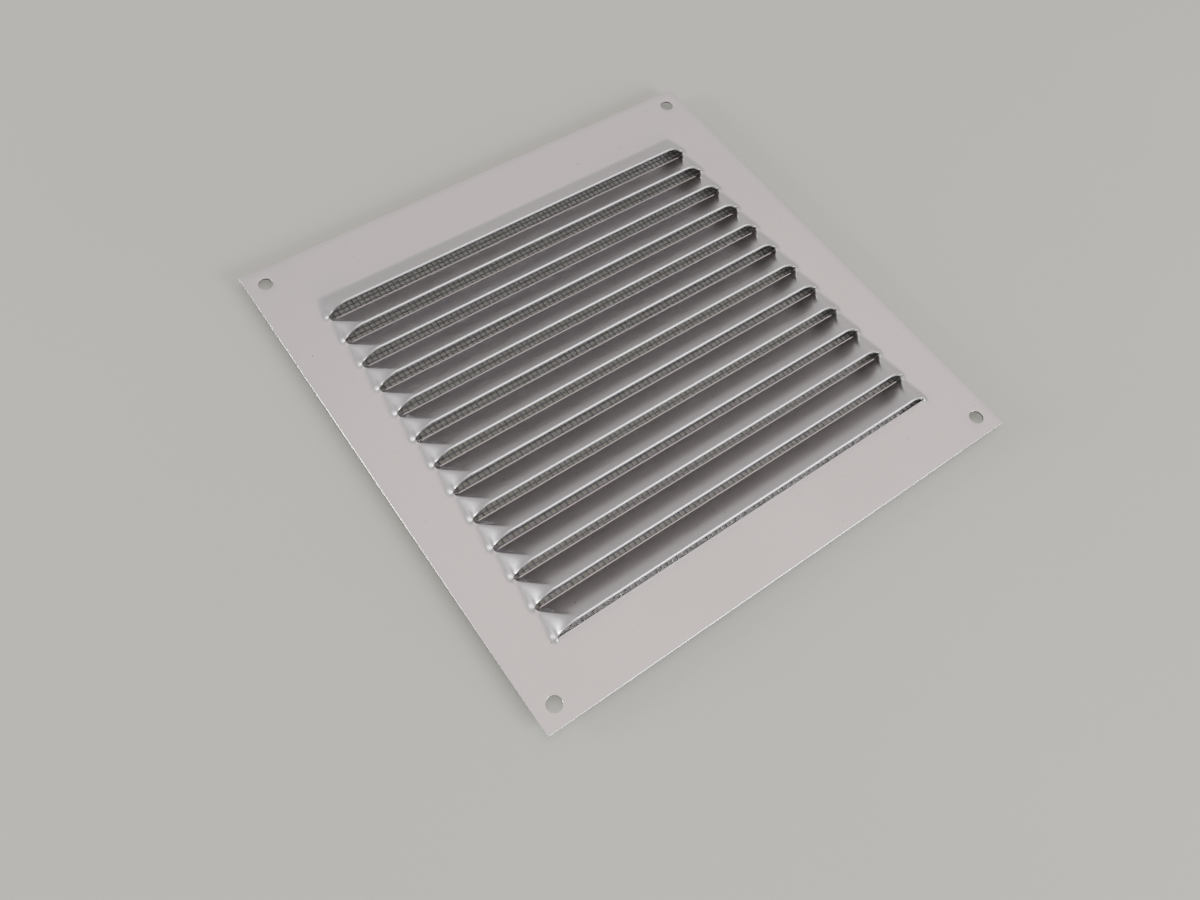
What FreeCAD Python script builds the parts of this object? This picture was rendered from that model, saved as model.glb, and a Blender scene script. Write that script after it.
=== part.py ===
"""Square louvred ventilation grille, pressed from one sheet of aluminium, with an insect screen behind it.

The grille lies on its back: +Z points out of its front face, +X runs along the louvres and +Y points to
the top edge, where rain would come from. The origin is under the plate's middle, on the back of the screen.
"""
import FreeCAD, Part
import os

import Sketcher

# Every independent size of the grille, in millimetres or degrees.
SIZES = {
    "plate_length": 150.0,
    "plate_width": 150.0,
    "sheet_thickness": 0.6,
    "hole_margin_along": 5.25,
    "hole_margin_across": 5.25,
    "hole_diameter": 4.0,
    "louvre_count": 13,
    "louvre_pitch": 9.0,
    "slit_length": 122.0,
    "slit_gap": 0.1,
    "top_margin": 24.7,
    "hood_depth": 8.0,
    "lip_rise": 4.0,
    "end_run": 6.5,
    "lip_lean": 6.0,
    "edge_drop": 1.1,
    "drop_run": 1.0,
    "adhesive_width": 4.0,
    "adhesive_margin": 1.0,
    "screen_clearance": 0.1,
    "screen_wall": 0.36,
    "screen_ridge": 0.2,
    "screen_ridge_width": 0.8,
    "screen_columns": 12,
    "screen_rows": 10,
    "screen_bar": 3.0,
}

# A louvre seen from its side, as formulas on the sheet's aliases. Heights are above the back of the sheet.
LIP_TOP = "(Sizes.sheet_thickness + Sizes.lip_rise)"
ABOVE_LIP = f"({LIP_TOP} + Sizes.sheet_thickness)"
LIP_SHIFT = f"({LIP_TOP} * tan(Sizes.lip_lean))"
BLADE_RUN = f"(Sizes.louvre_pitch - Sizes.slit_gap - {LIP_SHIFT})"
BLADE_SLOPE = f"atan((Sizes.lip_rise + Sizes.edge_drop) / {BLADE_RUN})"
BAND = f"(Sizes.sheet_thickness / cos({BLADE_SLOPE}))"
EDGE_TOP = "(Sizes.sheet_thickness - Sizes.edge_drop)"
EDGE_DEPTH = f"({BAND} - {EDGE_TOP})"
HOOD_RUN = f"(Sizes.hood_depth - Sizes.slit_gap - {LIP_SHIFT})"
HOOD_SLOPE = f"atan(Sizes.lip_rise / {HOOD_RUN})"
HOOD_FOOT = f"(Sizes.sheet_thickness * tan({HOOD_SLOPE} / 2))"

# A louvre seen from its mouth, from the middle to one end.
HALF_SLIT = "(Sizes.slit_length / 2)"
CROWN_END = f"({HALF_SLIT} - Sizes.end_run)"
END_RADIUS = "((Sizes.end_run ^ 2 + Sizes.lip_rise ^ 2) / (2 * Sizes.lip_rise))"
CENTRE_DEPTH = f"({END_RADIUS} - {LIP_TOP})"
INNER_RADIUS = f"({END_RADIUS} - Sizes.sheet_thickness)"
INNER_FOOT = f"({CROWN_END} + sqrt({INNER_RADIUS} ^ 2 - {CENTRE_DEPTH} ^ 2))"
EDGE_END = f"({HALF_SLIT} - Sizes.drop_run)"
BEND_FOOT = f"({BAND} * tan(atan(Sizes.edge_drop / Sizes.drop_run) / 2))"

# The stack from the screen's back to the sheet's back, and the places of the slits from the top edge down.
SCREEN_THICKNESS = "(Sizes.screen_wall + Sizes.screen_ridge)"
ADHESIVE_THICKNESS = f"({EDGE_DEPTH} + Sizes.screen_clearance)"
SHEET_BACK = f"({SCREEN_THICKNESS} + {ADHESIVE_THICKNESS})"
FIRST_SLIT = "(Sizes.plate_width / 2 - Sizes.top_margin)"
SECOND_SLIT = f"({FIRST_SLIT} - Sizes.louvre_pitch)"
LAST_SLIT = f"({FIRST_SLIT} - (Sizes.louvre_count - 1) * Sizes.louvre_pitch)"
HOOD_BACK = f"({FIRST_SLIT} + Sizes.hood_depth)"
FIELD_WIDTH = f"({HOOD_BACK} - {LAST_SLIT})"
FIELD_MIDDLE = f"(({HOOD_BACK} + {LAST_SLIT}) / 2)"
HOLE_SPACING_ALONG = "(Sizes.plate_length - 2 * Sizes.hole_margin_along)"
HOLE_SPACING_ACROSS = "(Sizes.plate_width - 2 * Sizes.hole_margin_across)"

# The screen and its meshes.
SCREEN_BORDER = "(Sizes.adhesive_margin + Sizes.adhesive_width)"
SCREEN_LENGTH = f"(Sizes.slit_length + 2 * {SCREEN_BORDER})"
SCREEN_WIDTH = f"({FIELD_WIDTH} + 2 * {SCREEN_BORDER})"
COLUMN_PITCH = "(Sizes.slit_length / Sizes.screen_columns)"
ROW_PITCH = f"({FIELD_WIDTH} / Sizes.screen_rows)"

# Sketcher's own numbers for the origin, the axes and the points of an edge.
ORIGIN = (-1, 1)
X_AXIS = -1
Y_AXIS = -2
START, END, CENTRE = range(1, 4)

doc = FreeCAD.newDocument("ventilation_grille")


def make_sheet():
    """The spreadsheet that drives every sketch and feature."""
    sheet = doc.addObject("Spreadsheet::Sheet", "Sizes")
    for row, (alias, size) in enumerate(SIZES.items(), start=1):
        sheet.set(f"A{row}", alias)
        sheet.set(f"B{row}", str(size))
        sheet.setAlias(f"B{row}", alias)
    doc.recompute()
    return sheet


sizes = make_sheet()


def number(formula):
    """The present value of a formula, to draw a sketch close to its solved form."""
    value = sizes.evalExpression(formula.replace("Sizes.", ""))
    return float(getattr(value, "Value", value))


def make_body(label):
    body = doc.addObject("PartDesign::Body", label)
    body.Label = label
    return body


def origin_feature(body, role):
    return next(item for item in body.Origin.OriginFeatures if item.Role == role)


def make_sketch(body, label, plane, depth="0", height="0"):
    """A sketch on an origin plane, moved along the plane's normal by depth and up by height."""
    sketch = body.newObject("Sketcher::SketchObject", label)
    sketch.AttachmentSupport = [(origin_feature(body, plane), "")]
    sketch.MapMode = "FlatFace"
    sketch.setExpression("AttachmentOffset.Base.y", height)
    sketch.setExpression("AttachmentOffset.Base.z", depth)
    return sketch


def cross_sketch(body, label, level):
    """A sketch across the plate at a level of Y, with its X axis on the back of the sheet."""
    return make_sketch(body, label, "XZ_Plane", f"-{level}", SHEET_BACK)


def side_sketch(body, label):
    """A sketch on the plate's middle plane, with its X axis along Y on the back of the sheet."""
    return make_sketch(body, label, "YZ_Plane", height=SHEET_BACK)


def dimension(sketch, kind, first, second, name, formula):
    """A named distance between two points of a sketch, bound to a formula."""
    index = sketch.addConstraint(Sketcher.Constraint(kind, *first, *second, number(formula)))
    sketch.renameConstraint(index, name)
    sketch.setExpression(f"Constraints.{name}", formula)


def add_rectangle(sketch, name, length, width, centre_x="0", centre_y="0"):
    """A rectangle of the given length along X and width along Y about a centre."""
    left_x = number(centre_x) - number(length) / 2
    right_x = left_x + number(length)
    low_y = number(centre_y) - number(width) / 2
    high_y = low_y + number(width)
    corners = [
        FreeCAD.Vector(left_x, low_y),
        FreeCAD.Vector(right_x, low_y),
        FreeCAD.Vector(right_x, high_y),
        FreeCAD.Vector(left_x, high_y),
    ]
    edges = [sketch.addGeometry(Part.LineSegment(corners[i], corners[(i + 1) % 4])) for i in range(4)]
    bottom, right, top, left = edges
    for i in range(4):
        sketch.addConstraint(Sketcher.Constraint("Coincident", edges[i], END, edges[(i + 1) % 4], START))
    for edge in (right, left):
        sketch.addConstraint(Sketcher.Constraint("Vertical", edge))
    for edge in (bottom, top):
        sketch.addConstraint(Sketcher.Constraint("Horizontal", edge))
    dimension(sketch, "DistanceX", (bottom, START), (bottom, END), f"{name}_length", length)
    dimension(sketch, "DistanceY", (right, START), (right, END), f"{name}_width", width)
    dimension(sketch, "DistanceX", (bottom, START), ORIGIN, f"{name}_left", f"{length} / 2 - {centre_x}")
    dimension(sketch, "DistanceY", (bottom, START), ORIGIN, f"{name}_below", f"{width} / 2 - {centre_y}")


def arc_from_crown(crown, foot):
    """The arc that leaves its crown level and comes down to its foot, with the circle that it lies on."""
    run = abs(foot.x - crown.x)
    fall = crown.y - foot.y
    radius = (run * run + fall * fall) / (2 * fall)
    circle = Part.Circle(FreeCAD.Vector(crown.x, crown.y - radius), FreeCAD.Vector(0, 0, 1), radius)
    first, last = sorted((circle.parameter(crown), circle.parameter(foot)))
    return circle, Part.ArcOfCircle(circle, first, last)


def draw_outline(sketch, points, crowns):
    """A closed outline through the points. crowns maps each edge that is an arc to its crown's corner."""
    corners = []
    tails = []
    for i, point in enumerate(points):
        following = points[(i + 1) % len(points)]
        shape = Part.LineSegment(point, following)
        ends = (START, END)
        if i in crowns:
            foot = following if crowns[i] == i else point
            circle, shape = arc_from_crown(points[crowns[i]], foot)
            # An arc runs anticlockwise, so on some edges its start comes last.
            if circle.parameter(point) > circle.parameter(following):
                ends = (END, START)
        edge = sketch.addGeometry(shape)
        corners.append((edge, ends[0]))
        tails.append((edge, ends[1]))
    for i, tail in enumerate(tails):
        sketch.addConstraint(Sketcher.Constraint("Coincident", *tail, *corners[(i + 1) % len(corners)]))
    for i, crown in crowns.items():
        sketch.addConstraint(Sketcher.Constraint("Vertical", corners[i][0], CENTRE, *corners[crown]))
    return corners


def place_corner(sketch, corner, name, across, up):
    """Places a corner by its distances from the sketch's axes."""
    for kind, axis, formula in (("DistanceX", Y_AXIS, across), ("DistanceY", X_AXIS, up)):
        if formula == "0":
            sketch.addConstraint(Sketcher.Constraint("PointOnObject", *corner, axis))
        elif number(formula) < 0:
            dimension(sketch, kind, corner, ORIGIN, f"{name}_{kind}", f"-({formula})")
        else:
            dimension(sketch, kind, ORIGIN, corner, f"{name}_{kind}", formula)


def add_outline(sketch, name, places, crowns=None, mirrored=False):
    """An outline whose corners are placed by pairs of formulas, with its mirror image if that is asked."""
    crowns = crowns or {}
    points = [FreeCAD.Vector(number(across), number(up)) for across, up in places]
    corners = draw_outline(sketch, points, crowns)
    for i, (corner, place) in enumerate(zip(corners, places), start=1):
        place_corner(sketch, corner, f"{name}_{i}", *place)
    if mirrored:
        flipped = [FreeCAD.Vector(-point.x, point.y) for point in points]
        for corner, other in zip(corners, draw_outline(sketch, flipped, crowns)):
            sketch.addConstraint(Sketcher.Constraint("Symmetric", *corner, *other, Y_AXIS))


def add_pad(body, label, sketch, length, kind="One side", backwards=False):
    pad = body.newObject("PartDesign::Pad", label)
    pad.Profile = sketch
    pad.SideType = kind
    pad.Reversed = backwards
    pad.setExpression("Length", length)
    return pad


def add_pocket(body, label, sketch, length, kind="One side", backwards=True):
    """A cut along the sketch's normal, or against it, or to both sides of the sketch."""
    pocket = body.newObject("PartDesign::Pocket", label)
    pocket.Profile = sketch
    pocket.SideType = kind
    pocket.Reversed = backwards
    pocket.setExpression("Length", length)
    return pocket


def make_pattern(body, label, axis, spacing, count):
    """A straight row of copies at a fixed spacing along an origin axis."""
    row = body.newObject("PartDesign::LinearPattern", label)
    row.Direction = (origin_feature(body, axis), [""])
    row.Mode = "Spacing"
    row.setExpression("Offset", spacing)
    row.setExpression("Occurrences", count)
    return row


def lip_corners(lip_level, slope):
    """The front and back corners of a lip's cut face, which leans towards the top edge."""
    face_height = f"(Sizes.sheet_thickness / cos({slope}) / (1 + tan({slope}) * tan(Sizes.lip_lean)))"
    back_height = f"({LIP_TOP} - {face_height})"
    front = (f"({lip_level} + {LIP_SHIFT})", LIP_TOP)
    back = (f"({lip_level} + {back_height} * tan(Sizes.lip_lean))", back_height)
    return front, back


def add_blade(body, label, places):
    """The flat blade of a louvre, from one end of the slit to the other."""
    outline = side_sketch(body, f"{label}_side")
    add_outline(outline, "blade", places)
    return add_pad(body, f"{label}_blade", outline, "Sizes.slit_length", "Symmetric")


def trim_blade_ends(body, label, lip_level, run, depressed):
    """Rounds the blade's ends to the arcs of the lip, and to the slopes beside a depressed upper edge."""
    outline = cross_sketch(body, f"{label}_ends", lip_level)
    outside = [
        (HALF_SLIT, "Sizes.sheet_thickness"),
        (HALF_SLIT, ABOVE_LIP),
        (CROWN_END, ABOVE_LIP),
        (CROWN_END, LIP_TOP),
    ]
    add_outline(outline, "outside", outside, {3: 3}, mirrored=True)
    if depressed:
        under = [
            (f"({HALF_SLIT} - {BEND_FOOT})", "0"),
            (f"({EDGE_END} - {BEND_FOOT})", f"(-{EDGE_DEPTH})"),
            (HALF_SLIT, f"(-{EDGE_DEPTH})"),
            (HALF_SLIT, "0"),
        ]
        add_outline(outline, "under", under, mirrored=True)
    return add_pocket(body, f"{label}_end_trim", outline, run, backwards=False)


def add_end_arcs(body, label, lip_level, reach):
    """The rounded walls that close a louvre's ends, from its lip to where it comes down to the plate."""
    outline = cross_sketch(body, f"{label}_arcs", lip_level)
    wall = [
        (HALF_SLIT, "0"),
        (HALF_SLIT, "Sizes.sheet_thickness"),
        (CROWN_END, LIP_TOP),
        (CROWN_END, "Sizes.lip_rise"),
        (INNER_FOOT, "0"),
    ]
    add_outline(outline, "wall", wall, {1: 2, 3: 3}, mirrored=True)
    return add_pad(body, f"{label}_end_arcs", outline, reach, backwards=True)


def clear_above(body, label, lip_level, front, upper_level, upper_height):
    """Cuts the end walls down to the blade's front face and back to the lip's cut face."""
    outline = side_sketch(body, f"{label}_air")
    air = [
        (lip_level, "0"),
        front,
        (upper_level, upper_height),
        (upper_level, ABOVE_LIP),
        (lip_level, ABOVE_LIP),
    ]
    add_outline(outline, "air", air)
    return add_pocket(body, f"{label}_end_slope", outline, "Sizes.slit_length", "Symmetric")


def add_edge_slopes(body, label, upper_level):
    """The short slopes that join a depressed upper edge to the plate at the slit's ends."""
    reach = f"({EDGE_DEPTH} / tan({BLADE_SLOPE}))"
    outline = cross_sketch(body, f"{label}_slopes", f"({upper_level} - {reach})")
    slope = [
        (HALF_SLIT, "0"),
        (HALF_SLIT, "Sizes.sheet_thickness"),
        (EDGE_END, EDGE_TOP),
        (f"({EDGE_END} - {BEND_FOOT})", f"(-{EDGE_DEPTH})"),
        (f"({HALF_SLIT} - {BEND_FOOT})", "0"),
    ]
    add_outline(outline, "slope", slope, mirrored=True)
    slopes = add_pad(body, f"{label}_edge_slopes", outline, reach, backwards=True)
    below = side_sketch(body, f"{label}_below")
    under = [
        (f"({upper_level} - {reach})", "0"),
        (f"({upper_level} - {reach})", f"(-{EDGE_DEPTH})"),
        (upper_level, f"(-{EDGE_DEPTH})"),
    ]
    add_outline(below, "below", under)
    return slopes, add_pocket(body, f"{label}_edge_slope_trim", below, "Sizes.slit_length", "Symmetric")


def add_hood(body):
    """The first louvre, which rises from the flat sheet."""
    label = "hood"
    lip_level = f"({FIRST_SLIT} + Sizes.slit_gap)"
    run = "(Sizes.hood_depth - Sizes.slit_gap)"
    front, back = lip_corners(lip_level, HOOD_SLOPE)
    sheet_front = (HOOD_BACK, "Sizes.sheet_thickness")
    sheet_back = [(HOOD_BACK, "0"), (f"({HOOD_BACK} - {HOOD_FOOT})", "0")]
    add_blade(body, label, [front, sheet_front, *sheet_back, back])
    trim_blade_ends(body, label, lip_level, run, depressed=False)
    add_end_arcs(body, label, lip_level, run)
    clear_above(body, label, lip_level, front, *sheet_front)


def add_louvre_row(body):
    """The other louvres, each of which rises from a depressed edge under the lip of the one above."""
    label = "louvre"
    lip_level = f"({SECOND_SLIT} + Sizes.slit_gap)"
    run = "(Sizes.louvre_pitch - Sizes.slit_gap)"
    front, back = lip_corners(lip_level, BLADE_SLOPE)
    edge_front = (FIRST_SLIT, EDGE_TOP)
    features = [
        add_blade(body, label, [front, edge_front, (FIRST_SLIT, f"(-{EDGE_DEPTH})"), back]),
        trim_blade_ends(body, label, lip_level, run, depressed=True),
        add_end_arcs(body, label, lip_level, f"({LIP_SHIFT} + Sizes.lip_rise / tan({BLADE_SLOPE}))"),
        clear_above(body, label, lip_level, front, *edge_front),
        *add_edge_slopes(body, label, FIRST_SLIT),
    ]
    row = make_pattern(body, "louvre_row", "Y_Axis", "Sizes.louvre_pitch", "Sizes.louvre_count - 1")
    row.Originals = features
    row.Reversed = True
    return row


def make_louvre_plate():
    """The plate: one sheet with a row of pressed louvres and four corner holes."""
    body = make_body("louvre_plate")
    outline = make_sketch(body, "plate_outline", "XY_Plane", SHEET_BACK)
    add_rectangle(outline, "plate", "Sizes.plate_length", "Sizes.plate_width")
    add_rectangle(outline, "louvre_field", "Sizes.slit_length", FIELD_WIDTH, centre_y=FIELD_MIDDLE)
    add_pad(body, "flat_sheet", outline, "Sizes.sheet_thickness")

    holes = make_sketch(body, "corner_holes", "XY_Plane", SHEET_BACK)
    add_corner_circles(holes)
    add_pocket(body, "screw_holes", holes, "Sizes.sheet_thickness")

    add_hood(body)
    body.Tip = add_louvre_row(body)
    return body


def add_corner_circles(sketch):
    """Four equal circles on the corners of a rectangle centred on the origin."""
    along = number(HOLE_SPACING_ALONG) / 2
    across = number(HOLE_SPACING_ACROSS) / 2
    radius = number("Sizes.hole_diameter") / 2
    places = [(along, across), (-along, across), (-along, -across), (along, -across)]
    circles = []
    for x, y in places:
        circle = Part.Circle(FreeCAD.Vector(x, y), FreeCAD.Vector(0, 0, 1), radius)
        circles.append(sketch.addGeometry(circle))
    first, second, third, fourth = circles
    sketch.addConstraint(Sketcher.Constraint("Symmetric", first, CENTRE, second, CENTRE, Y_AXIS))
    sketch.addConstraint(Sketcher.Constraint("Symmetric", second, CENTRE, third, CENTRE, X_AXIS))
    sketch.addConstraint(Sketcher.Constraint("Symmetric", third, CENTRE, fourth, CENTRE, Y_AXIS))
    for other in (second, third, fourth):
        sketch.addConstraint(Sketcher.Constraint("Equal", first, other))
    dimension(sketch, "DistanceX", (second, CENTRE), (first, CENTRE), "spacing_along", HOLE_SPACING_ALONG)
    dimension(sketch, "DistanceY", (third, CENTRE), (second, CENTRE), "spacing_across", HOLE_SPACING_ACROSS)
    index = sketch.addConstraint(Sketcher.Constraint("Diameter", first, 2 * radius))
    sketch.renameConstraint(index, "diameter")
    sketch.setExpression("Constraints.diameter", "Sizes.hole_diameter")


def make_mesh_adhesive():
    """The strip of adhesive that bonds the border of the screen to the back of the plate."""
    body = make_body("mesh_adhesive")
    sketch = make_sketch(body, "adhesive_outline", "XY_Plane", SCREEN_THICKNESS)
    inner_length = f"({SCREEN_LENGTH} - 2 * Sizes.adhesive_width)"
    inner_width = f"({SCREEN_WIDTH} - 2 * Sizes.adhesive_width)"
    add_rectangle(sketch, "outer", SCREEN_LENGTH, SCREEN_WIDTH, centre_y=FIELD_MIDDLE)
    add_rectangle(sketch, "inner", inner_length, inner_width, centre_y=FIELD_MIDDLE)
    add_pad(body, "adhesive_strip", sketch, ADHESIVE_THICKNESS)
    return body


def make_insect_mesh():
    """The woven screen as one wall of crossing ridges, with a hollow in each mesh and a gap through it."""
    body = make_body("insect_mesh")
    outline = make_sketch(body, "screen_outline", "XY_Plane")
    add_rectangle(outline, "screen", SCREEN_LENGTH, SCREEN_WIDTH, centre_y=FIELD_MIDDLE)
    add_pad(body, "screen_wall", outline, SCREEN_THICKNESS)

    column = f"({COLUMN_PITCH} / 2 - {HALF_SLIT})"
    row = f"({HOOD_BACK} - {ROW_PITCH} / 2)"
    hollow_outline = make_sketch(body, "hollow_outline", "XY_Plane", "Sizes.screen_wall")
    hollow_length = f"({COLUMN_PITCH} - Sizes.screen_ridge_width)"
    hollow_width = f"({ROW_PITCH} - Sizes.screen_ridge_width)"
    add_rectangle(hollow_outline, "hollow", hollow_length, hollow_width, column, row)
    hollow = add_pocket(body, "hollow", hollow_outline, "Sizes.screen_ridge")

    gap_outline = make_sketch(body, "gap_outline", "XY_Plane")
    gap_length = f"({COLUMN_PITCH} - Sizes.screen_bar)"
    gap_width = f"({ROW_PITCH} - Sizes.screen_bar)"
    add_rectangle(gap_outline, "gap", gap_length, gap_width, column, row)
    gap = add_pocket(body, "gap", gap_outline, "Sizes.screen_wall")

    grid = body.newObject("PartDesign::MultiTransform", "mesh_grid")
    grid.Originals = [hollow, gap]
    columns = make_pattern(body, "mesh_columns", "X_Axis", COLUMN_PITCH, "Sizes.screen_columns")
    rows = make_pattern(body, "mesh_rows", "Y_Axis", ROW_PITCH, "Sizes.screen_rows")
    rows.Reversed = True
    grid.Transformations = [columns, rows]
    body.Tip = grid
    return body


def check_document(bodies):
    """Stops the build where a feature has failed or a body has no valid shape."""
    for item in doc.Objects:
        if "Invalid" in item.State or "Error" in item.State:
            raise RuntimeError(f"{item.Label} failed: {item.State}")
    for body in bodies:
        if body.Shape.isNull() or not body.Shape.isValid():
            raise RuntimeError(f"{body.Label} has no valid shape")


def export_parts(bodies):
    """One STEP file a body, and a line on each."""
    os.makedirs("parts", exist_ok=True)
    for body in bodies:
        shape = body.Shape
        shape.exportStep(os.path.join("parts", f"{body.Label}.step"))
        box = shape.BoundBox
        corners = [box.XMin, box.YMin, box.ZMin, box.XMax, box.YMax, box.ZMax]
        print(body.Label, len(shape.Solids), "solid", len(shape.Faces), "faces", round(shape.Volume, 1))
        print(body.Label, "box", [round(corner, 3) for corner in corners])


bodies = [make_louvre_plate(), make_mesh_adhesive(), make_insect_mesh()]
doc.recompute()
check_document(bodies)
export_parts(bodies)
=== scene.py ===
"""Looks of a louvred ventilation grille: pressed satin aluminium sheet, woven insect screen and adhesive."""
import math

import bpy
import numpy as np
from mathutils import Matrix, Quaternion, Vector

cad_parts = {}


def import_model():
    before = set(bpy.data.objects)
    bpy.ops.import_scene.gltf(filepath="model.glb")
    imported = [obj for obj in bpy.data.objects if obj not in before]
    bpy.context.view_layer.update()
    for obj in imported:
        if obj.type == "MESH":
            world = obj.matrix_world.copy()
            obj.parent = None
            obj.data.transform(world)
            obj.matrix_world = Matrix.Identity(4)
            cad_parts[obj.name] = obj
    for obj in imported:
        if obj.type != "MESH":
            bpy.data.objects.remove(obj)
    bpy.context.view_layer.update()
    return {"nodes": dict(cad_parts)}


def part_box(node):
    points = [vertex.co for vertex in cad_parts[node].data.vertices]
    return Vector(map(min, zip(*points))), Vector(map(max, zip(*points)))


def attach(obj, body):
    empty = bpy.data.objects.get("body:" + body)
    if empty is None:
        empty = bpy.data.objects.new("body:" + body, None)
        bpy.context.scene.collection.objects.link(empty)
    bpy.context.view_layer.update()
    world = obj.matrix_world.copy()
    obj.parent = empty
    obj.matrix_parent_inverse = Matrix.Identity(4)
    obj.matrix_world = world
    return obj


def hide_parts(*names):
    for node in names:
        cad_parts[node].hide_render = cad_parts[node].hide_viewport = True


MM = 0.001

# Camera, fitted to the corners, holes and slits of the plate in the photograph. Places are from the middle
# of the plate's front face, in millimetres.
PHOTO_WIDTH = 1200
FOCAL_PIXELS = 999.2
SENSOR_WIDTH = 36.0
CLIP_START = 0.01
CAMERA_PLACE = (-113.56, -113.71, 221.92)
CAMERA_AIM = (-23.01, -22.31, 0.0)
CAMERA_ROLL = math.radians(10.39)

# Sizes of the pressed sheet, in millimetres.
THICKNESS = 0.6
HALF_PLATE = 75.0
HOLE_RADIUS = 2.0
HOLE_OFFSET = 69.75
HOLE_CELL = 3.2
HOLE_POINTS = 32
LOUVRE_COUNT = 13
PITCH = 9.0
HALF_SLIT = 61.0
FIRST_SLIT = 50.3
HOOD_DEPTH = 8.0
HOOD_BEND = 3.2
LIP_RISE = 4.0
LIP_RUN = 6.5
LIP_LEAN = math.radians(6.0)
SLIT_GAP = 0.1
EDGE_DROP = 1.1
DROP_RUN = 0.8
# How the lip's end curve leaves the crown and comes down to the tip of the slit.
LIP_PULL = 1.7
LIP_PUSH = 0.5
LIP_STEEP = 0.8
# The same curve away from the lip, where the end of the louvre is softer and reaches further.
SOFT_PULL = 4.8
SOFT_PUSH = 0.8
SOFT_END = 2.4
LIP_SHARPENING = 5
# Share of a louvre's way down that its end curve is narrowed to at the least.
LEAST_SHARE = 0.001
# The small bulge round the tip of a slit.
TIP_RISE = 1.05
TIP_SHIFT = 0.1
TIP_LENGTH = 0.56
TIP_WIDTH = 1.5
TIP_BELOW = 2.5
SLIT_CLOSING = 0.5
SMOOTH_ANGLE = math.radians(32)
# A sheared edge is rounded over on one side and has a burr on the other: how far in, and how far down.
ROLLOVER = ((0.0, 0.055), (0.03, 0.022), (0.065, 0.006), (0.11, 0.0))
BURR = ((0.0, -0.17), (0.10, -0.15), (0.26, -0.02), (0.36, 0.0))
# Share of a cut face that the shear burnished, from the front. The rest is torn.
BURNISHED = 0.42

# The sheet's grid: its columns from the middle out, as where each stretch ends and its steps, and its rows.
COLUMN_STRETCHES = ((50.0, 4), (54.6, 10), (HALF_SLIT, 32), (63.0, 8), (64.5, 2))
CURVE_STEPS = 60
RELIEF_STEPS = 20
BELOW_STEPS = 6
# The folds at the ends of the louvres are softened over their neighbours.
SOFTENED_FROM = 51.0
SOFTENINGS = 10
ROW_WEIGHT = 0.12
# Places closer than this are the same, and no normal is shorter.
SAME_PLACE = 1e-6
LEAST_LENGTH = 1e-12

# Woven screen, in millimetres.
WIRE_DIAMETER = 0.28
MESH_PITCH_X = 1.5875
MESH_PITCH_Y = 1.411
WIRE_SIDES = 6

# Adhesive, in millimetres.
ADHESIVE_WIDTH = 4.0
ADHESIVE_SOAK = 0.12
ADHESIVE_INSET = 0.25
ADHESIVE_STATIONS = 60
# Waves that the strip's edges wander by: size, count round the border and start.
ADHESIVE_WAVES = ((0.10, 7, 0), (0.07, 17, 1), (0.05, 41, 2))
# Corners of the strip's rounded section: share of its width from outside, share of its height.
ADHESIVE_SECTION = (
    (0.10, 0.0), (0.03, 0.12), (0.0, 0.45), (0.02, 0.85), (0.06, 1.0),
    (0.94, 1.0), (0.98, 0.85), (1.0, 0.45), (0.97, 0.12), (0.90, 0.0),
)

# Corners of a square, anticlockwise from the lower left.
SQUARE = ((-1, -1), (1, -1), (1, 1), (-1, 1))

# The floor's half width and how far it lies below the piece, in metres.
FLOOR_REACH = 3.0
FLOOR_DROP = 0.00002

# The room's light by the direction it comes from: its bright side, and its tones towards that side.
ROOM_BRIGHT_SIDE = (0.3, 0.1, 0.95)
ROOM_TONES = (
    (0.0, (0.40, 0.40, 0.41)),
    (0.45, (0.47, 0.46, 0.47)),
    (0.66, (0.54, 0.52, 0.52)),
    (0.85, (0.84, 0.78, 0.75)),
    (0.94, (1.14, 0.98, 0.96)),
)
# Area lights: name, place and size in metres, power in watts and colour.
AREA_LIGHTS = (
    ("window", (-1.2, 0.62, 0.16), 0.30, 20.0, (1.0, 1.0, 1.0)),
    ("front_light", (0.50, -1.2, 0.28), 0.6, 22.0, (0.93, 0.96, 1.0)),
)

# Looks of the materials. Roughness and colour follow noise between two of its values.
METAL = {"Metallic": 1.0}
MILKY = {
    "Subsurface Weight": 0.4,
    "Subsurface Radius": (0.001, 0.0009, 0.0008),
    "Subsurface Scale": 1.0,
}
DULL = {"Roughness": 0.7, "Specular IOR Level": 0.3}
CLOUD_COLOURS = ((0.3, (0.84, 0.81, 0.81)), (0.7, (0.88, 0.85, 0.85)))
SPECK_COLOUR = (0.35, 0.33, 0.32, 1.0)
SPECK_MASK = ((0.77, 0.0), (0.82, 1.0))
GRAIN_GLOSS = ((0.25, 0.27), (0.75, 0.36))


def main():
    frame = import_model()
    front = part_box("louvre_plate")[1].z - LIP_RISE * MM
    make_camera(front)
    make_stage()
    make_lights()
    dress_cad_nodes(frame)
    make_sheet(front)
    make_screen()
    make_adhesive()


def make_camera(front):
    data = bpy.data.cameras.new("camera")
    data.sensor_width = SENSOR_WIDTH
    data.lens = FOCAL_PIXELS / PHOTO_WIDTH * SENSOR_WIDTH
    data.clip_start = CLIP_START
    camera = bpy.data.objects.new("camera", data)
    bpy.context.scene.collection.objects.link(camera)
    bpy.context.scene.camera = camera
    lift = Vector((0, 0, front))
    place = Vector(CAMERA_PLACE) * MM + lift
    aim = Vector(CAMERA_AIM) * MM + lift
    level = (aim - place).to_track_quat("-Z", "Y")
    camera.location = place
    camera.rotation_mode = "QUATERNION"
    camera.rotation_quaternion = level @ Quaternion((0, 0, 1), CAMERA_ROLL)


# Materials

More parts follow.
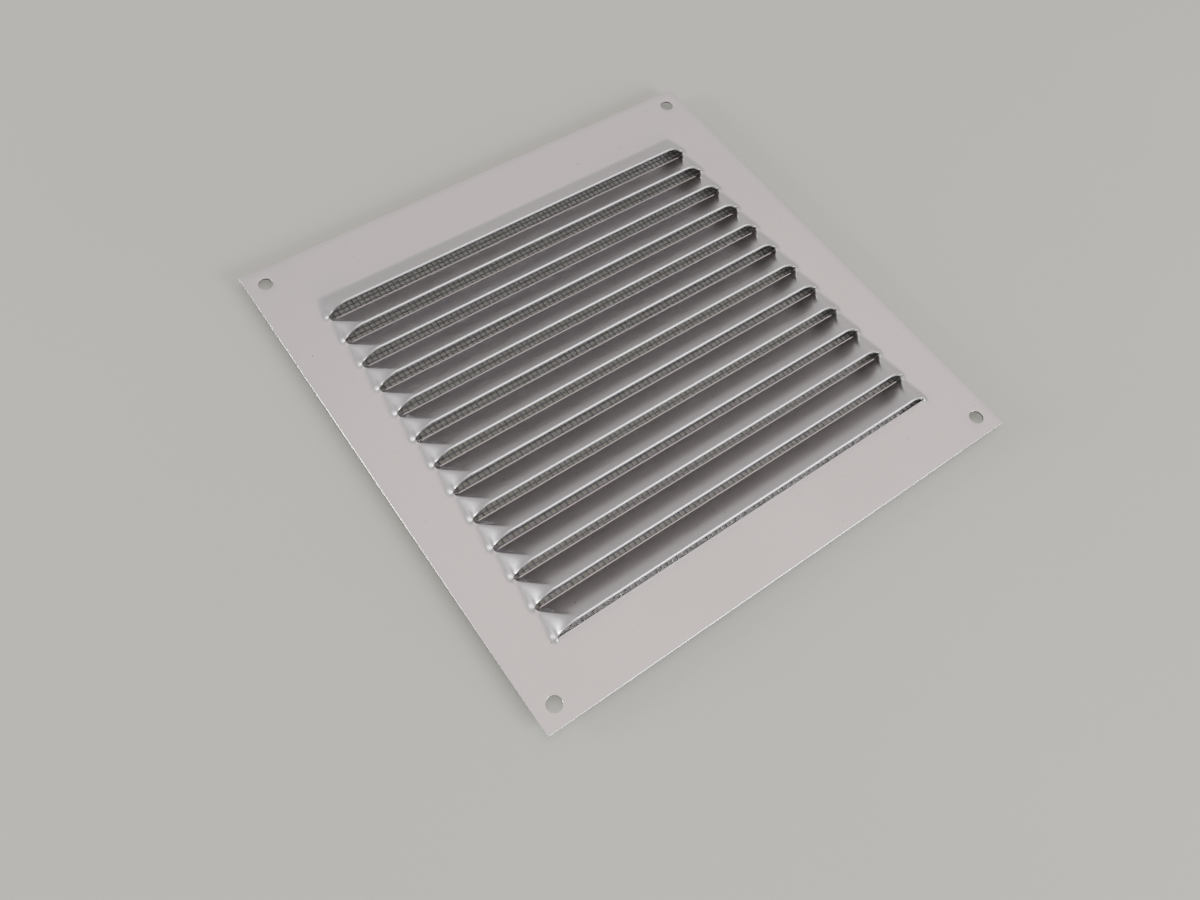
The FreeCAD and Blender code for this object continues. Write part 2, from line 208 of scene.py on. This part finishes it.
def new_material(name, steady):
    """A material with steady values on its shader, and helpers that add and link the nodes of its tree."""
    material = bpy.data.materials.new(name)
    material.use_nodes = True
    tree = material.node_tree
    shader = tree.nodes["Principled BSDF"]
    for socket, value in steady.items():
        shader.inputs[socket].default_value = value

    def add(kind, **settings):
        node = tree.nodes.new(kind)
        for key, value in settings.items():
            if key in node.inputs:
                node.inputs[key].default_value = value
            else:
                setattr(node, key, value)
        return node

    return material, shader, add, tree.links.new


def set_stops(ramp, stops):
    """Gives a colour ramp its stops, each a place with a value or a colour."""
    elements = ramp.elements
    for i, (place, value) in enumerate(stops):
        element = elements[i] if i < len(elements) else elements.new(place)
        element.position = place
        colour = (value, value, value) if isinstance(value, (int, float)) else value
        element.color = (*colour, 1.0)


def add_ramp(add, link, source, stops, target):
    """Leads a noise through a colour ramp to a socket."""
    node = add("ShaderNodeValToRGB")
    set_stops(node.color_ramp, stops)
    link(source, node.inputs["Fac"])
    link(node.outputs["Color"], target)


def add_bump(add, link, source, strength, distance, shader):
    """Lets a noise raise the surface."""
    bump = add("ShaderNodeBump", Strength=strength, Distance=distance)
    link(source, bump.inputs["Height"])
    link(bump.outputs["Normal"], shader.inputs["Normal"])


def add_noise(add, link, scale, detail, roughness=0.5, stretch=(1.0, 1.0, 1.0)):
    """Noise in the object's own frame, stretched along one axis or another."""
    place = add("ShaderNodeTexCoord")
    mapping = add("ShaderNodeMapping", Scale=stretch)
    noise = add("ShaderNodeTexNoise", Scale=scale, Detail=detail, Roughness=roughness)
    link(place.outputs["Object"], mapping.inputs["Vector"])
    link(mapping.outputs["Vector"], noise.inputs["Vector"])
    return noise.outputs["Fac"]


def mottled_material(name, steady, noise, places, colours, glosses=None, bump=None):
    """A material whose colour, roughness and bump follow one noise between two of its values."""
    material, shader, add, link = new_material(name, steady)
    source = add_noise(add, link, **noise)
    add_ramp(add, link, source, zip(places, colours), shader.inputs["Base Color"])
    if glosses:
        add_ramp(add, link, source, zip(places, glosses), shader.inputs["Roughness"])
    if bump:
        add_bump(add, link, source, *bump, shader)
    return material


def sheet_material():
    """Satin mill-finish aluminium: fine rolling grain, faint clouds and a few dark specks."""
    material, shader, add, link = new_material("satin_aluminium", METAL)
    grain = add_noise(add, link, scale=60.0, detail=6.0, roughness=0.6, stretch=(2.0, 60.0, 60.0))
    clouds = add_noise(add, link, scale=28.0, detail=3.0)
    specks = add_noise(add, link, scale=1100.0, detail=1.0)
    colour = add("ShaderNodeMix", data_type="RGBA")
    colour.inputs["B"].default_value = SPECK_COLOUR
    add_ramp(add, link, clouds, CLOUD_COLOURS, colour.inputs["A"])
    add_ramp(add, link, specks, SPECK_MASK, colour.inputs["Factor"])
    link(colour.outputs["Result"], shader.inputs["Base Color"])
    add_ramp(add, link, grain, GRAIN_GLOSS, shader.inputs["Roughness"])
    add_bump(add, link, grain, 0.05, 0.00003, shader)
    return material


def cut_material(name, colours, glosses, bump_strength):
    """A cut face of the sheet, with fine marks across it."""
    noise = {"scale": 1800.0, "detail": 5.0, "roughness": 0.6, "stretch": (1.0, 1.0, 0.35)}
    return mottled_material(name, METAL, noise, (0.3, 0.7), colours, glosses, (bump_strength, 0.00004))


def burnished_material():
    """The part of a cut face that the shear burnished is bright."""
    return cut_material("burnished_edge", ((0.52, 0.51, 0.51), (0.60, 0.59, 0.59)), (0.40, 0.52), 0.15)


def torn_material():
    """The part of a cut face that tore is rough and dull."""
    return cut_material("torn_edge", ((0.16, 0.15, 0.15), (0.26, 0.25, 0.25)), (0.50, 0.70), 0.5)


def wire_material():
    """Drawn wire of the screen, dulled here and there."""
    noise = {"scale": 420.0, "detail": 3.0}
    colours = ((0.38, 0.375, 0.42), (0.49, 0.485, 0.53))
    return mottled_material("screen_wire", METAL, noise, (0.35, 0.65), colours, (0.46, 0.34))


def adhesive_material():
    """Milky adhesive, cloudy and a little uneven."""
    noise = {"scale": 260.0, "detail": 5.0}
    colours = ((0.80, 0.77, 0.69), (0.88, 0.86, 0.80))
    return mottled_material("milky_adhesive", MILKY, noise, (0.3, 0.7), colours, (0.38, 0.55), (0.4, 0.0002))


def floor_material():
    """A plain pale laminate with faint clouds."""
    noise = {"scale": 6.0, "detail": 3.0}
    colours = ((0.66, 0.672, 0.61), (0.68, 0.692, 0.63))
    return mottled_material("pale_floor", DULL, noise, (0.3, 0.7), colours)


# Stage and lights

def make_stage():
    data = bpy.data.meshes.new("floor")
    corners = [(x * FLOOR_REACH, y * FLOOR_REACH, -FLOOR_DROP) for x, y in SQUARE]
    data.from_pydata(corners, [], [(0, 1, 2, 3)])
    floor = bpy.data.objects.new("floor", data)
    bpy.context.scene.collection.objects.link(floor)
    floor.data.materials.append(floor_material())


def make_lights():
    """A pale room that is brightest high up behind the piece, with a low window and a soft light in front."""
    world = bpy.data.worlds.new("room")
    bpy.context.scene.world = world
    world.use_nodes = True
    tree = world.node_tree
    background = tree.nodes["Background"]
    place = tree.nodes.new("ShaderNodeTexCoord")
    along = tree.nodes.new("ShaderNodeVectorMath")
    along.operation = "DOT_PRODUCT"
    along.inputs[1].default_value = Vector(ROOM_BRIGHT_SIDE).normalized()
    shade = tree.nodes.new("ShaderNodeValToRGB")
    set_stops(shade.color_ramp, ROOM_TONES)
    tree.links.new(place.outputs["Generated"], along.inputs[0])
    tree.links.new(along.outputs["Value"], shade.inputs["Fac"])
    tree.links.new(shade.outputs["Color"], background.inputs["Color"])
    for light in AREA_LIGHTS:
        add_area_light(*light)


def add_area_light(name, place, size, power, colour):
    """A square light that looks at the piece."""
    data = bpy.data.lights.new(name, "AREA")
    data.size = size
    data.energy = power
    data.color = colour
    light = bpy.data.objects.new(name, data)
    bpy.context.scene.collection.objects.link(light)
    light.location = place
    light.rotation_mode = "QUATERNION"
    light.rotation_quaternion = (-Vector(place)).to_track_quat("-Z", "Y")


# Mesh helpers

def in_millimetres(box):
    """The low and high corner of a box in metres."""
    return [np.array(corner) / MM for corner in box]


def round_angles(count):
    """Angles at even steps round a circle."""
    return np.arange(count) * 2 * math.pi / count


def add_piece(name, vertices, faces, materials, replaced, material_index=None):
    """A mesh piece in millimetres that rides on the only body and stands for a CAD node."""
    data = bpy.data.meshes.new(name)
    data.from_pydata((np.asarray(vertices) * MM).tolist(), [], faces)
    for material in materials:
        data.materials.append(material)
    if material_index is not None:
        data.polygons.foreach_set("material_index", material_index)
    data.shade_smooth()
    data.set_sharp_from_angle(angle=SMOOTH_ANGLE)
    data.validate()
    piece = bpy.data.objects.new(name, data)
    bpy.context.scene.collection.objects.link(piece)
    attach(piece, "root")
    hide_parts(replaced)


def dress_cad_nodes(frame):
    """Each CAD node gets its finish too, although a finer piece stands for it."""
    finishes = {
        "louvre_plate": sheet_material,
        "insect_mesh": wire_material,
        "mesh_adhesive": adhesive_material,
    }
    for name, finish in finishes.items():
        node = frame["nodes"][name]
        node.data.materials.clear()
        node.data.materials.append(finish())


# Pressed sheet

def bezier(start, pull, push, end):
    """Places and heights along a cubic curve."""
    s = np.linspace(0, 1, CURVE_STEPS + 1)[:, None]
    curve = (1 - s) ** 3 * np.array(start) + 3 * (1 - s) ** 2 * s * np.array(pull)
    return (curve + 3 * (1 - s) * s * s * np.array(push) + s ** 3 * np.array(end)).T


def sheet_columns():
    """Places of the grid's columns, close together at the ends of the slits."""
    right = [np.zeros(1)]
    for place, steps in COLUMN_STRETCHES:
        right.append(np.linspace(right[-1][-1], place, steps + 1)[1:])
    edge_steps = [HALF_PLATE - distance for distance, _ in reversed(ROLLOVER)]
    right = np.concatenate([*right, [HOLE_OFFSET - HOLE_CELL, HOLE_OFFSET + HOLE_CELL], edge_steps])
    return np.concatenate([-right[:0:-1], right])


def hood_rise(share):
    """Share of the hood's rise, which starts with a soft bend."""
    bend = HOOD_BEND / HOOD_DEPTH
    slope = 1 / (1 - bend / 2)
    curved = slope * share ** 2 / (2 * bend)
    return np.where(share < bend, curved, slope * (share - bend / 2))


def lip_wedge(columns, shares, rises):
    """Heights of a louvre's wedge, with rounded ends ruled from the slit above to the curve of its lip."""
    start = (HALF_SLIT - LIP_RUN, LIP_RISE)
    steep_pull = (HALF_SLIT - LIP_PULL, LIP_RISE)
    steep_push = (HALF_SLIT - LIP_PUSH, LIP_STEEP)
    steep = bezier(start, steep_pull, steep_push, (HALF_SLIT, 0.0))
    soft_pull = (HALF_SLIT - SOFT_PULL, LIP_RISE)
    soft_push = (HALF_SLIT - SOFT_PUSH, 0.0)
    soft = bezier(start, soft_pull, soft_push, (HALF_SLIT + SOFT_END, 0.0))
    rows = []
    for share, rise in zip(shares, rises):
        curve = soft + (steep - soft) * share ** LIP_SHARPENING
        places = HALF_SLIT + (curve[0] - HALF_SLIT) * max(share, LEAST_SHARE)
        rows.append(np.interp(np.abs(columns), places, curve[1] * rise))
    return np.array(rows)


def pressed_down(columns, shares):
    """How far the louvre is pressed down below its wedge, with a step along the fold to the crown."""
    rows = []
    for share in shares:
        step = np.clip((HALF_SLIT - LIP_RUN * share - np.abs(columns)) / DROP_RUN, 0, 1)
        rows.append(EDGE_DROP * (1 - share) * step * step * (3 - 2 * step))
    return np.array(rows)


def tip_bulge(columns, distances):
    """The small bulge round the tips of a slit, at some distances across it."""
    along = np.exp(-((np.abs(columns) - HALF_SLIT - TIP_SHIFT) / TIP_LENGTH) ** 2)
    across = np.exp(-(distances / TIP_WIDTH) ** 2)
    return TIP_RISE * np.outer(across, along)


def sheet_relief(columns):
    """Heights of the sheet on rows from each louvre's upper edge to its lip, and a little below the last."""
    shares = np.linspace(0, 1, RELIEF_STEPS + 1)
    bulge_above = tip_bulge(columns, (1 - shares) * PITCH)
    bulge_below = tip_bulge(columns, shares * PITCH * TIP_BELOW)
    hood = lip_wedge(columns, shares, hood_rise(shares)) + bulge_above
    louvre = lip_wedge(columns, shares, shares) - pressed_down(columns, shares) + bulge_above + bulge_below
    below = bulge_below[:BELOW_STEPS + 1] * (1 - shares[:BELOW_STEPS + 1, None] / shares[BELOW_STEPS])
    return soften_folds(np.vstack([hood, *[louvre] * (LOUVRE_COUNT - 1), below]), columns)


def soften_folds(relief, columns):
    """The relief with its folds softened at the ends of the louvres.

    A slit's two sides stay as they are cut, and are one line beyond the slit's ends.
    """
    lip_rows = np.arange(1, LOUVRE_COUNT + 1) * (RELIEF_STEPS + 1) - 1
    above = np.maximum(np.arange(len(relief)) - 1, 0)
    under = np.minimum(np.arange(len(relief)) + 1, len(relief) - 1)
    above[lip_rows + 1] = lip_rows - 1
    under[lip_rows] = lip_rows + 2
    free = np.zeros(relief.shape, bool)
    free[1:-1] = (np.abs(columns) > SOFTENED_FROM) & (np.abs(columns) < COLUMN_STRETCHES[-1][0])
    for side in (lip_rows, lip_rows + 1):
        free[side] &= np.abs(columns) > HALF_SLIT
    for _ in range(SOFTENINGS):
        around = (relief[above] + relief[under]) * ROW_WEIGHT
        around[:, 1:-1] += (relief[:, :-2] + relief[:, 2:]) * (0.5 - ROW_WEIGHT)
        relief = np.where(free, 0.5 * (relief + around), relief)
    return relief


def row_between(heights, place):
    """The heights at a place between the rows, counted in rows from the first."""
    lower = min(int(place), len(heights) - 2)
    part = place - lower
    return heights[lower] * (1 - part) + heights[lower + 1] * part


def edge_shift(distance, table):
    """How far the front is rounded down, or raised where negative, at some distance from a cut edge."""
    places = [place for place, _ in table]
    shifts = [shift for _, shift in table]
    return np.interp(distance, places, shifts)


def row_shares():
    """Shares of the way down a louvre for the grid's rows, close together at both cut edges."""
    upper = [distance / PITCH for distance, _ in BURR]
    lip = [1 - distance / PITCH for distance, _ in reversed(ROLLOVER)]
    return np.array([*upper, *np.linspace(0, 1, RELIEF_STEPS + 1)[1:-1], *lip])


def border_rows(levels, side_roll):
    """Rows of the flat border at some levels of y."""
    flat = np.zeros(len(side_roll))
    for y in levels:
        roll = np.maximum(side_roll, edge_shift(HALF_PLATE - abs(y), ROLLOVER))
        yield flat + y, flat, roll, False


def louvre_rows(k, heights, slit_open, side_roll):
    """Rows of one louvre from its upper edge to its lip. The first louvre has no slit above it."""
    slit = FIRST_SLIT - k * PITCH
    above = slit + PITCH if k else FIRST_SLIT + HOOD_DEPTH
    lip_shift = (SLIT_GAP + (THICKNESS + heights[-1]) * math.tan(LIP_LEAN)) * slit_open
    for i, share in enumerate(row_shares()):
        y = above + (slit + lip_shift - above) * share
        z = row_between(heights, share * RELIEF_STEPS)
        roll = edge_shift((1 - share) * PITCH, ROLLOVER) * slit_open
        burr = edge_shift(share * PITCH, BURR) * slit_open if k else np.zeros(len(slit_open))
        yield y, z, side_roll + burr + roll, k > 0 and i == 0


def rows_below(heights, slit_open, side_roll):
    """Rows from the last slit's lower side down to the flat border."""
    last_slit = FIRST_SLIT - (LOUVRE_COUNT - 1) * PITCH
    burr_depths = [distance for distance, _ in BURR]
    depths = np.array([*burr_depths, *(np.arange(1, BELOW_STEPS + 1) * PITCH / RELIEF_STEPS)])
    for i, depth in enumerate(depths):
        z = row_between(heights, depth / PITCH * RELIEF_STEPS)
        burr = edge_shift(depth, BURR) * slit_open
        yield np.zeros(len(slit_open)) + last_slit - depth, z, side_roll + burr, i == 0


def sheet_rows(columns):
    """Rows of the sheet's grid from the top edge down.

    Each has its y, height and edge shift at each column, and whether it is a slit's lower side.
    """
    relief = sheet_relief(columns)
    slit_open = np.clip((HALF_SLIT - np.abs(columns)) / SLIT_CLOSING, 0, 1)
    side_roll = edge_shift(HALF_PLATE - np.abs(columns), ROLLOVER)
    edge_levels = [HALF_PLATE - distance for distance, _ in ROLLOVER]
    top_levels = [*edge_levels, HOLE_OFFSET + HOLE_CELL, HOLE_OFFSET - HOLE_CELL]
    rows = [*border_rows(top_levels, side_roll)]
    for k in range(LOUVRE_COUNT):
        heights = relief[k * (RELIEF_STEPS + 1):(k + 1) * (RELIEF_STEPS + 1)]
        rows.extend(louvre_rows(k, heights, slit_open, side_roll))
    rows.extend(rows_below(relief[-BELOW_STEPS - 1:], slit_open, side_roll))
    rows.extend(border_rows([-y for y in reversed(top_levels)], side_roll))
    return rows


def sheet_grid(rows, columns):
    """Vertices, edge shifts and quads of the front surface, open along the slits, and the holes' cells."""
    outside = np.abs(columns) >= HALF_SLIT - SAME_PLACE
    points = []
    shifts = []
    ids = []
    count = 0
    for y, z, shift, below_slit in rows:
        keep = ~outside if below_slit else np.ones(len(columns), bool)
        own_ids = count + np.cumsum(keep) - 1
        points.append(np.column_stack([columns, y, z])[keep])
        shifts.append(shift[keep])
        ids.append(np.where(outside, ids[-1], own_ids) if below_slit else own_ids)
        count += int(keep.sum())
    quads = []
    holes = []
    for r in range(len(rows) - 1):
        if rows[r + 1][3]:
            continue
        top, low = ids[r], ids[r + 1]
        high_y, low_y = rows[r][0].max(), rows[r + 1][0].max()
        middle_y = (high_y + low_y) / 2
        hole_row = abs(high_y - low_y - 2 * HOLE_CELL) < SAME_PLACE and at_hole(middle_y)
        for c in range(len(columns) - 1):
            middle = (columns[c] + columns[c + 1]) / 2
            quad = (low[c], low[c + 1], top[c + 1], top[c])
            if hole_row and at_hole(middle):
                holes.append((quad, middle, middle_y))
            else:
                quads.append(quad)
    return np.vstack(points), np.concatenate(shifts), quads, holes


def at_hole(place):
    """Whether a place along X or Y is the middle of a hole."""
    return abs(abs(place) - HOLE_OFFSET) < SAME_PLACE


def add_holes(points, shifts, holes):
    """Rings of triangles and quads that leave a round hole in each corner cell."""
    faces = []
    angles = round_angles(HOLE_POINTS)
    quarter = HOLE_POINTS // 4
    for corners, x, y in holes:
        rings = []
        for distance, depth in reversed(ROLLOVER):
            rings.append(len(points))
            reach = HOLE_RADIUS + distance
            ring = [x + reach * np.cos(angles), y + reach * np.sin(angles), np.zeros(HOLE_POINTS)]
            points = np.vstack([points, np.column_stack(ring)])
            shifts = np.concatenate([shifts, np.full(HOLE_POINTS, depth)])
        # The cell's corners run anticlockwise from the lower left, the ring's quarters from the upper right.
        around = [corners[2], corners[3], corners[0], corners[1]]
        outer = rings[0]
        for q in range(4):
            for j in range(quarter * q, quarter * (q + 1)):
                faces.append((outer + j, around[q], outer + (j + 1) % HOLE_POINTS))
            faces.append((around[q - 1], around[q], outer + quarter * q))
        for outer, inner in zip(rings, rings[1:]):
            for j in range(HOLE_POINTS):
                k = (j + 1) % HOLE_POINTS
                faces.append((outer + j, outer + k, inner + k, inner + j))
    return points, shifts, faces


def vertex_normals(points, faces):
    """Normals at the vertices, averaged over the faces that meet there."""
    normals = np.zeros_like(points)
    for size in (3, 4):
        group = np.array([face for face in faces if len(face) == size])
        a, b, c = points[group[:, 0]], points[group[:, 1]], points[group[:, 2]]
        d = points[group[:, -1]]
        face_normals = np.cross(c - a, d - b) if size == 4 else np.cross(b - a, c - a)
        lengths = np.linalg.norm(face_normals, axis=1, keepdims=True)
        face_normals = face_normals / np.maximum(lengths, LEAST_LENGTH)
        for corner in range(size):
            np.add.at(normals, group[:, corner], face_normals)
    return normals / np.linalg.norm(normals, axis=1, keepdims=True)


def thicken(points, shifts, faces):
    """The closed sheet: front, back and the cut faces between their borders, with material indices."""
    back = points - THICKNESS * vertex_normals(points, faces)
    front = points - np.column_stack([np.zeros((len(shifts), 2)), shifts])
    count = len(points)
    sides = {}
    for face in faces:
        sides.update(dict.fromkeys(zip(face, (*face[1:], face[0]))))
    cuts = [(a, b) for a, b in sides if (b, a) not in sides]
    border = sorted({a for a, _ in cuts})
    inner = {a: 2 * count + i for i, a in enumerate(border)}
    middle = front[border] * (1 - BURNISHED) + back[border] * BURNISHED
    burnished = [(a, inner[a], inner[b], b) for a, b in cuts]
    torn = [(inner[a], a + count, b + count, inner[b]) for a, b in cuts]
    backs = [tuple(v + count for v in reversed(face)) for face in faces]
    all_faces = [tuple(int(v) for v in face) for face in (*faces, *backs, *burnished, *torn)]
    indices = [0] * (len(faces) + len(backs)) + [1] * len(burnished) + [2] * len(torn)
    return np.vstack([front, back, middle]), all_faces, indices


def make_sheet(front):
    """The pressed sheet, whose flat front face is at a height in metres."""
    columns = sheet_columns()
    points, shifts, quads, holes = sheet_grid(sheet_rows(columns), columns)
    points, shifts, rings = add_holes(points, shifts, holes)
    vertices, faces, indices = thicken(points, shifts, quads + rings)
    vertices[:, 2] += front / MM
    materials = [sheet_material(), burnished_material(), torn_material()]
    add_piece("pressed_sheet", vertices, faces, materials, "louvre_plate", indices)


# Woven screen

def wire_set(across, along, low_z, flip):
    """Wires of one direction as tubes that pass over and under the wires of the other direction.

    across holds the places of the wires, along the places of the crossings with both ends.
    """
    radius = WIRE_DIAMETER / 2
    middle_z = low_z + WIRE_DIAMETER
    crossings = along[1:-1]
    halfway = (crossings[1:] + crossings[:-1]) / 2
    stations = np.sort(np.concatenate([along, halfway]))
    wave = np.zeros(len(stations))
    wave[1:-1:2] = radius * (1 - 2 * (np.arange(len(crossings)) % 2))
    angles = round_angles(WIRE_SIDES)
    ring_side = radius * np.cos(angles)
    ring_up = radius * np.sin(angles)
    vertices = []
    faces = []
    station_count = len(stations)
    for i, place in enumerate(across):
        sign = 1 if (i + flip) % 2 else -1
        first = i * station_count * WIRE_SIDES
        tube = np.zeros((station_count, WIRE_SIDES, 3))
        tube[:, :, 0] = stations[:, None]
        tube[:, :, 1] = place + ring_side[None, :]
        tube[:, :, 2] = middle_z + sign * wave[:, None] + ring_up[None, :]
        vertices.append(tube.reshape(-1, 3))
        for s in range(station_count - 1):
            start = first + s * WIRE_SIDES
            for j in range(WIRE_SIDES):
                k = (j + 1) % WIRE_SIDES
                faces.append((start + j, start + WIRE_SIDES + j, start + WIRE_SIDES + k, start + k))
        last = first + (station_count - 1) * WIRE_SIDES
        faces.append(tuple(range(first, first + WIRE_SIDES)))
        faces.append(tuple(range(last + WIRE_SIDES - 1, last - 1, -1)))
    return np.vstack(vertices), faces


def spread(low, high, pitch):
    """Places at a pitch, centred between two limits and a wire's radius clear of them."""
    count = int((high - low - WIRE_DIAMETER) // pitch) + 1
    return (low + high) / 2 + (np.arange(count) - (count - 1) / 2) * pitch


def make_screen():
    """The woven screen: wires along the louvres and wires across them."""
    low, high = in_millimetres(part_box("insect_mesh"))
    columns = spread(low[0], high[0], MESH_PITCH_X)
    rows = spread(low[1], high[1], MESH_PITCH_Y)
    weft_vertices, weft_faces = wire_set(rows, np.array([low[0], *columns, high[0]]), low[2], 0)
    warp_vertices, warp_faces = wire_set(columns, np.array([low[1], *rows, high[1]]), low[2], 1)
    warp_vertices = warp_vertices[:, [1, 0, 2]]
    warp_faces = [face[::-1] for face in warp_faces]
    wire = wire_material()
    add_piece("screen_weft", weft_vertices, weft_faces, [wire], "insect_mesh")
    add_piece("screen_warp", warp_vertices, warp_faces, [wire], "insect_mesh")


# Adhesive

def border_stations():
    """Places round the border of a square with corners at 1, anticlockwise from the lower left."""
    corners = np.array(SQUARE)
    stations = []
    for q in range(4):
        a, b = corners[q], corners[(q + 1) % 4]
        for i in range(ADHESIVE_STATIONS):
            stations.append(a + (b - a) * i / ADHESIVE_STATIONS)
    return np.array(stations, float)


def make_adhesive():
    """The strip of adhesive as a soft bead round the screen's border, soaked into the top of the weave."""
    low, high = in_millimetres(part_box("mesh_adhesive"))
    low[2] -= ADHESIVE_SOAK
    middle = (low + high) / 2
    half = (high - low) / 2
    stations = border_stations()
    turn = round_angles(len(stations))
    wander = sum(size * np.sin(count * turn + start) for size, count, start in ADHESIVE_WAVES)
    vertices = []
    for (sx, sy), shift in zip(stations, wander):
        for width_share, height_share in ADHESIVE_SECTION:
            inset = width_share * ADHESIVE_WIDTH + (ADHESIVE_INSET + shift) * (1 - 2 * width_share)
            x = middle[0] + sx * (half[0] - inset)
            y = middle[1] + sy * (half[1] - inset)
            vertices.append((x, y, low[2] + height_share * (high[2] - low[2])))
    faces = []
    total = len(stations)
    section = len(ADHESIVE_SECTION)
    for s in range(total):
        n = (s + 1) % total
        for j in range(section):
            k = (j + 1) % section
            faces.append((n * section + j, n * section + k, s * section + k, s * section + j))
    add_piece("adhesive_bead", vertices, faces, [adhesive_material()], "mesh_adhesive")


main()
